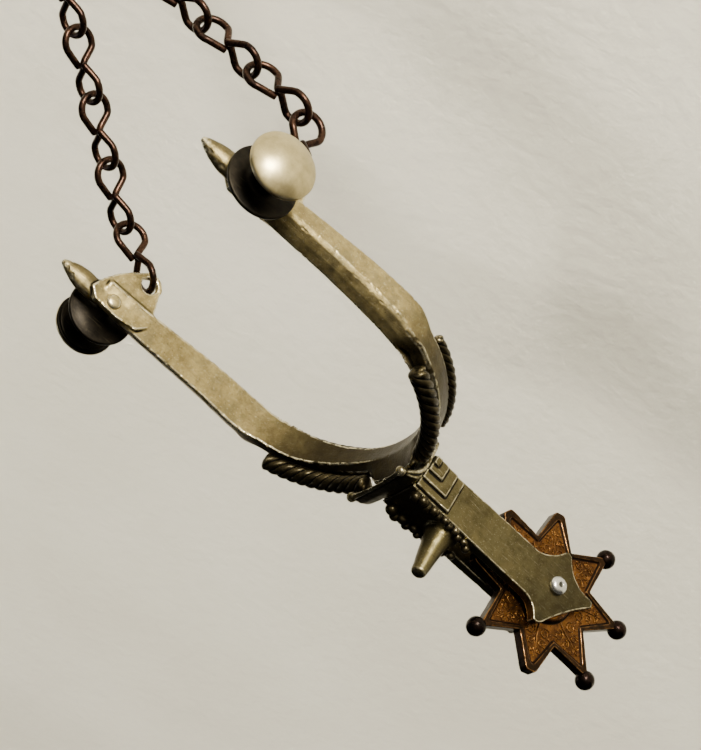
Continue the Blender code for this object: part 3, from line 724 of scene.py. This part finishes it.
def make_rowel():
    body = prism("star", star(NOTCH_R, 0.0, 1.0), -ROWEL_T / 2, ROWEL_T / 2)
    inner = star(NOTCH_R - 1.35, 2.1, 0.34)
    cut(body, prism("p1", inner, ROWEL_T / 2 - RECESS, 3.5), prism("p2", inner, -3.5, -ROWEL_T / 2 + RECESS))
    hub = turned("hub", ((-2.5, 7.0), (-2.45, 7.6), (-2.2, 8.1), (-1.7, 8.5), (-1.0, 8.65), (1.0, 8.65), (1.7, 8.5), (2.2, 8.1), (2.45, 7.6), (2.5, 7.0)),
                 ROWEL_C[1], ROWEL_C[2], 1, 72)
    cut(hub, turned("bore", ((-9, 1.9), (9, 1.9)), ROWEL_C[1], ROWEL_C[2], 1, 32))
    cut(body, turned("bore", ((-9, 1.9), (9, 1.9)), ROWEL_C[1], ROWEL_C[2], 1, 32))
    o = fuse("star_casting", [body, hub], 0.18, 2)
    wear(o, 2)
    hammer(o, 0.03, 1.2, 41.0)
    # panel floors and hub get the copper, the rim and walls stay dark
    me = o.data
    me.materials.clear()
    me.materials.append(RIM)
    me.materials.append(COPPER)
    wanted = np.zeros(len(me.polygons), np.int32)
    outline = inner
    cy, cz = ROWEL_C[1], ROWEL_C[2]
    oy, oz = np.array([p[0] for p in outline]), np.array([p[1] for p in outline])
    for i, f in enumerate(me.polygons):
        c = f.center / MM
        r = math.hypot(c.y - cy, c.z - cz)
        if r < 8.9:
            wanted[i] = 1 if r < 8.3 else 0
            continue
        if abs(c.x) < ROWEL_T / 2 - RECESS + 0.16 and abs(f.normal.x) > 0.6:
            wanted[i] = 1
    me.polygons.foreach_set("material_index", wanted)
    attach(o, "rowel")
    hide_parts("rowel")
    # raised leaf scrolls on the panels
    vs, fs = [], []

    def add(path, r, seg=8):
        v, f = tube_data(path, r, seg)
        k = len(vs)
        vs.extend(v)
        fs.extend(tuple(i + k for i in q) for q in f)

    for face in (1, -1):
        x = face * (ROWEL_T / 2 - RECESS + 0.03)
        for k in range(8):
            a = math.radians(PHASE - 45.0 * k)
            u, v = (math.cos(a), math.sin(a)), (math.sin(a), -math.cos(a))

            def at(r, w, lift=0.0):
                return Vector((x + face * lift, cy + u[0] * r + v[0] * w, cz + u[1] * r + v[1] * w))
            end = 19.2 if k not in BALL_POINTS else 18.6
            add(smooth_path([at(8.8, 0), at(12, 0.15), at(15, -0.12), at(end, 0)], 6), lambda t: 0.30 - 0.16 * t)
            for s in (1, -1):
                for rc, wc, R, turns in ((11.6, 2.35, 1.55, 1.35), (14.6, 1.75, 1.15, 1.3), (17.0, 1.0, 0.70, 1.2)):
                    pts = []
                    for i in range(34):
                        t = i / 33
                        ang = math.pi * 1.25 + s * turns * 2 * math.pi * t
                        rad = R * (1 - 0.78 * t)
                        pts.append(at(rc + rad * math.cos(ang), s * wc + rad * math.sin(ang), 0.02))
                    add(pts, lambda t: 0.21 - 0.09 * t)
                    # leaf lobes outside the curl
                    for q in (0.4, 1.3):
                        ang = math.pi * 0.15 * s + q * s
                        c0 = at(rc + R * 0.8 * math.cos(ang), s * wc + R * 0.8 * math.sin(ang), 0.0)
                        c1 = at(rc + R * 1.35 * math.cos(ang), s * wc + R * 1.35 * math.sin(ang), 0.0)
                        add([c0, (c0 + c1) / 2, c1], lambda t: 0.26 * (1 - 0.6 * t))
    sc = mesh_object("star_scrolls", vs, fs)
    dress(sc, SCROLL, "rowel", "copper_star", spread=1)
    balls = []
    for k in BALL_POINTS:
        a = math.radians(PHASE - 45.0 * k)
        c = (0.0, ROWEL_C[1] + BALL_R_C * math.cos(a), ROWEL_C[2] + BALL_R_C * math.sin(a))
        balls.append(ball(f"b{k}", c, BALL_R, 40))
        # short collar where the ball meets its point
        n0 = Vector((0.0, ROWEL_C[1] + (BALL_R_C - BALL_R - 0.5) * math.cos(a), ROWEL_C[2] + (BALL_R_C - BALL_R - 0.5) * math.sin(a)))
        n1 = Vector((0.0, ROWEL_C[1] + (BALL_R_C - BALL_R + 0.9) * math.cos(a), ROWEL_C[2] + (BALL_R_C - BALL_R + 0.9) * math.sin(a)))
        balls.append(mesh_object("n", *tube_data([n0, (n0 + n1) / 2, n1], 1.35, 20)))
    b = fuse("star_balls", balls, 0.16, 2)
    wear(b, 2)
    hammer(b, 0.05, 0.9, 51.0)
    dress(b, BALLM, "rowel", "copper_star")


make_rowel()


def make_pin():
    f = SHANK_W_END + 0.12
    head = [(f, 1.6), (f, 2.35), (f + 0.15, 2.52), (f + 0.5, 2.55), (f + 0.9, 2.42), (f + 1.3, 2.1), (f + 1.55, 1.7), (f + 1.66, 1.2), (f + 1.62, 0.85), (f + 1.45, 0.62), (f + 1.38, 0.25)]
    prof = [(-d, r) for d, r in head[::-1]] + head
    o = turned("pin_peened", prof, ROWEL_C[1], ROWEL_C[2], 1, 64)
    s = o.modifiers.new("s", 'SUBSURF')
    s.levels = s.render_levels = 1
    bake_modifiers(o)
    wear(o, 1)
    hammer(o, 0.035, 0.8, 61.0)
    return dress(o, PIN, "heel", "bright_pin", "rowel_pin")


make_pin()

# ---------------------------------------------------------------- strap buttons
BUTTON_Y, BUTTON_Z, BUTTON_R, FLANGE_R, DOME_X = 43.0, 2.6, 8.6, 9.3, 51.8


def make_button(side, tag):
    dome = [(49.9, 3.5), (50.3, 5.0), (50.45, BUTTON_R - 1.2), (50.6, BUTTON_R - 0.6)]
    for i in range(9):
        a = -math.pi / 2 + math.pi * i / 8 * 0.75
        dome.append((51.45 + 0.85 * math.sin(a), BUTTON_R - 0.62 + 0.62 * math.cos(a)))
    x1, r1 = dome[-1]
    for i in range(1, 26):
        t = i / 26
        r = r1 * (1 - t)
        dome.append((x1 + (55.1 - x1) * (1 - (r / r1) ** 2) ** 0.92, r))
    top = turned(f"button_dome_{tag}", dome, BUTTON_Y, BUTTON_Z, side, 112)
    wear(top, 2)
    hammer(top, 0.035, 2.6, 71.0 + side)
    dress(top, NICKEL, "heel", "satin_nickel")
    # painted shade: the dome faces turned towards the arm take the near-black
    top.data.materials.append(SHADOW_BLACK)
    for f in top.data.polygons:
        if f.normal.x * side < -0.25:
            f.material_index = 1
    spool = [(33.6, 0.6), (33.7, 1.3), (34.0, 1.9), (34.6, 2.25), (41.5, 2.25), (41.5, FLANGE_R - 0.5), (41.65, FLANGE_R - 0.12), (41.95, FLANGE_R), (42.35, FLANGE_R), (42.6, FLANGE_R - 0.12),
             (42.72, FLANGE_R - 0.4), (42.75, 5.2), (42.85, 4.4), (43.4, 3.9), (45.5, 3.4), (48.6, 3.45), (49.6, 3.7), (50.1, 4.4)]
    sp = turned(f"button_spool_{tag}", spool, BUTTON_Y, BUTTON_Z, side, 96)
    wear(sp, 1)
    # painted shadow: flange and stem take the near-black, the part inside the arm keeps the brass
    dress(sp, SHADOW_BLACK, "heel", "satin_nickel", f"strap_button_{tag}")
    sp.data.materials.append(BRASS)
    for f in sp.data.polygons:
        if abs(f.center.x) < 38.0 * MM:
            f.material_index = 1


make_button(1, "right")
make_button(-1, "left")

# ---------------------------------------------------------------- heel chain
WIRE_R, LINK_PITCH, LOOP_R, GAP = 0.95, 17.8, 4.15, 0.3
STRAND = {1: ((36.0, 42.6, -27.6), (11.8, 106.6, -47.5)), -1: ((-36.7, 52.5, -19.6), (-5.7, 111.4, -44.9))}
RING_END_X = 10.8
REACH = WIRE_R + GAP / 2
INSET = LOOP_R - REACH


def flat_part(v, normal):
    return (v - normal * v.dot(normal)).normalized()


def link_axes(d):
    x = flat_part(Vector((1, 0, 0)), d)
    return x, d.cross(x)


def next_centre(end, d1, d2, normal2):
    mid = (d1 + d2).normalized()
    return (end - d1 * INSET + flat_part(mid, link_axes(d1)[0]) * LOOP_R + flat_part(mid, normal2) * LOOP_R - mid * (2 * WIRE_R + GAP))


def strand_links(side):
    t0 = Vector((side * TAB_X, *TAB_HOLE[side]))
    j1, j5 = (Vector(p) for p in STRAND[side])
    d1, d2 = (j1 - t0).normalized(), (j5 - j1).normalized()
    links = [(t0, t0 + d1 * LINK_PITCH)]
    start = next_centre(links[0][1], d1, d2, link_axes(d2)[1]) - d2 * INSET
    for i in range(4):
        links.append((start + d2 * (LINK_PITCH * i), start + d2 * (LINK_PITCH * (i + 1))))
    return links, d2


def link_wire(start, end):
    """Jack-chain link: one wire bent to two loops at right angles, its cut ends lying beside the neck."""
    a, b = Vector(start), Vector(end)
    z = (b - a).normalized()
    x, y = link_axes(z)
    rot3 = Matrix((x, y, z)).transposed()
    mid = (a + b) / 2
    half = LINK_PITCH / 2 + 1.1 - LOOP_R
    loops = []
    n = 11
    a0 = math.radians(58)
    for e, u in ((-1, Vector((1, 0, 0))), (1, Vector((0, 1, 0)))):
        loops.append([Vector((0, 0, e * half)) + u * (LOOP_R * math.sin(a0 + (2 * math.pi - 2 * a0) * i / n))
                      + Vector((0, 0, -e * LOOP_R * math.cos(a0 + (2 * math.pi - 2 * a0) * i / n))) for i in range(n + 1)])
    off = WIRE_R + 0.14
    u, v = Vector((1, 0, 0)), Vector((0, 1, 0))
    path = [u * off * 1.0 + v * -off * 0.9 + Vector((0, 0, 0.4))] + loops[0]
    path += [u * -off * 0.35 + Vector((0, 0, -0.9)), v * off * 0.35 + Vector((0, 0, 0.9))] + loops[1]
    path += [v * -off * 1.0 + u * off * -0.9 + Vector((0, 0, -0.2))]
    return [rot3 @ q + mid for q in path]


def make_chain():
    for side, tag in ((1, "right"), (-1, "left")):
        for i, (p, q) in enumerate(strand_links(side)[0]):
            node = f"chain_{tag}_{i + 1:02d}"
            v, f = tube_data(smooth_path(link_wire(p, q), 7), WIRE_R, 20, ends=0.16)
            o = mesh_object(f"link_{tag}_{i + 1:02d}", v, f)
            wear(o, 1)
            hammer(o, 0.03, 0.9, 80.0 + i * 3 + side)
            dress(o, CHAIN, node, "dark_copper", node)
    (lr, dr), (ll, dl) = strand_links(1), strand_links(-1)
    er, el = lr[-1][1], ll[-1][1]
    m = (er - el).normalized()
    n = (dr.cross(m) + dl.cross(m)).normalized()
    vv = m.cross(n).normalized()
    near = next_centre(el, dl, m, n)
    far = near + m * ((RING_END_X - near.x) / m.x - LOOP_R - WIRE_R)
    path = []
    for side, c in ((1, far), (-1, near)):
        for i in range(9):
            a = -math.pi / 2 + math.pi * i / 8
            path.append(c + m * (side * LOOP_R * math.cos(a)) + vv * (side * LOOP_R * math.sin(a)))
    v, f = tube_data(smooth_path(path, 6, closed=True), WIRE_R, 20, closed=True)
    o = mesh_object("ring_middle", v, f)
    wear(o, 1)
    hammer(o, 0.03, 0.9, 99.0)
    dress(o, CHAIN, "chain_middle_link", "dark_copper", "chain_middle_link")


make_chain()

# ---------------------------------------------------------------- floor, lights, world
def stage_material():
    m = bpy.data.materials.new("pale_plaster")
    m.use_nodes = True
    nt = m.node_tree
    b = nt.nodes["Principled BSDF"]
    tc = nt.nodes.new("ShaderNodeTexCoord").outputs["Object"]
    col = mixc(nt, ramp(nt, noisen(nt, tc, 9, 4.0), 0.35, 0.65), (0.68, 0.64, 0.52), (0.74, 0.70, 0.58))
    nt.links.new(col, b.inputs["Base Color"])
    b.inputs["Roughness"].default_value = 0.9
    bump = nt.nodes.new("ShaderNodeBump")
    bump.inputs["Distance"].default_value = 0.0011
    bump.inputs["Strength"].default_value = 0.5
    nt.links.new(noisen(nt, tc, 220, 5.0, 0.6), bump.inputs["Height"])
    nt.links.new(bump.outputs[0], b.inputs["Normal"])
    # the floor is open from below, so the underside of the spur can be looked at
    clear, pick, geo = (nt.nodes.new(k) for k in ("ShaderNodeBsdfTransparent", "ShaderNodeMixShader", "ShaderNodeNewGeometry"))
    nt.links.new(geo.outputs["Backfacing"], pick.inputs[0])
    nt.links.new(b.outputs[0], pick.inputs[1])
    nt.links.new(clear.outputs[0], pick.inputs[2])
    nt.links.new(pick.outputs[0], nt.nodes["Material Output"].inputs["Surface"])
    return m


FLOOR_Z = -0.085
me = bpy.data.meshes.new("floor")
s = 4.0
me.from_pydata([(-s, -s, FLOOR_Z), (s, -s, FLOOR_Z), (s, s, FLOOR_Z), (-s, s, FLOOR_Z)], [], [(0, 1, 2, 3)])
floor = bpy.data.objects.new("floor", me)
SCENE.collection.objects.link(floor)
floor.data.materials.append(stage_material())
floor_only = bpy.data.collections.new("floor_only")
SCENE.collection.children.link(floor_only)
floor_only.objects.link(floor)


def area(name, at, look, size, power, colour, only=None):
    d = bpy.data.lights.new(name, 'AREA')
    d.shape, d.size, d.size_y, d.energy, d.color = 'RECTANGLE', size[0], size[1], power, colour
    o = bpy.data.objects.new(name, d)
    SCENE.collection.objects.link(o)
    o.location = at
    o.rotation_mode = 'QUATERNION'
    o.rotation_quaternion = (Vector(at) - Vector(look)).to_track_quat('Z', 'Y')
    if only:
        o.light_linking.receiver_collection = only
    return o


area("key_soft", (0.95, 0.30, -0.02), (0.0, 0.0, 0.0), (0.26, 0.26), 27.0, (1.0, 0.94, 0.80))
area("rim_left", (-0.6, 0.5, 0.25), (0.0, 0.0, 0.0), (0.10, 0.10), 0.25, (0.9, 0.95, 1.0))
area("floor_light", (0.1, 0.5, 1.6), (-0.25, 0.25, FLOOR_Z), (0.8, 0.8), 52.0, (1.0, 0.965, 0.865), floor_only)

world = bpy.data.worlds.new("studio")
SCENE.world = world
world.use_nodes = True
nt = world.node_tree
bg = nt.nodes["Background"]
tc = nt.nodes.new("ShaderNodeTexCoord").outputs["Generated"]
dot = nt.nodes.new("ShaderNodeVectorMath")
dot.operation = 'DOT_PRODUCT'
dot.inputs[1].default_value = Vector((0.94, 0.30, -0.16)).normalized()
nt.links.new(tc, dot.inputs[0])
fac = ramp(nt, dot.outputs["Value"], 0.25, 1.0)
nt.links.new(mixc(nt, fac, (0.012, 0.012, 0.013), (0.95, 0.86, 0.68)), bg.inputs["Color"])
bg.inputs["Strength"].default_value = 1.0
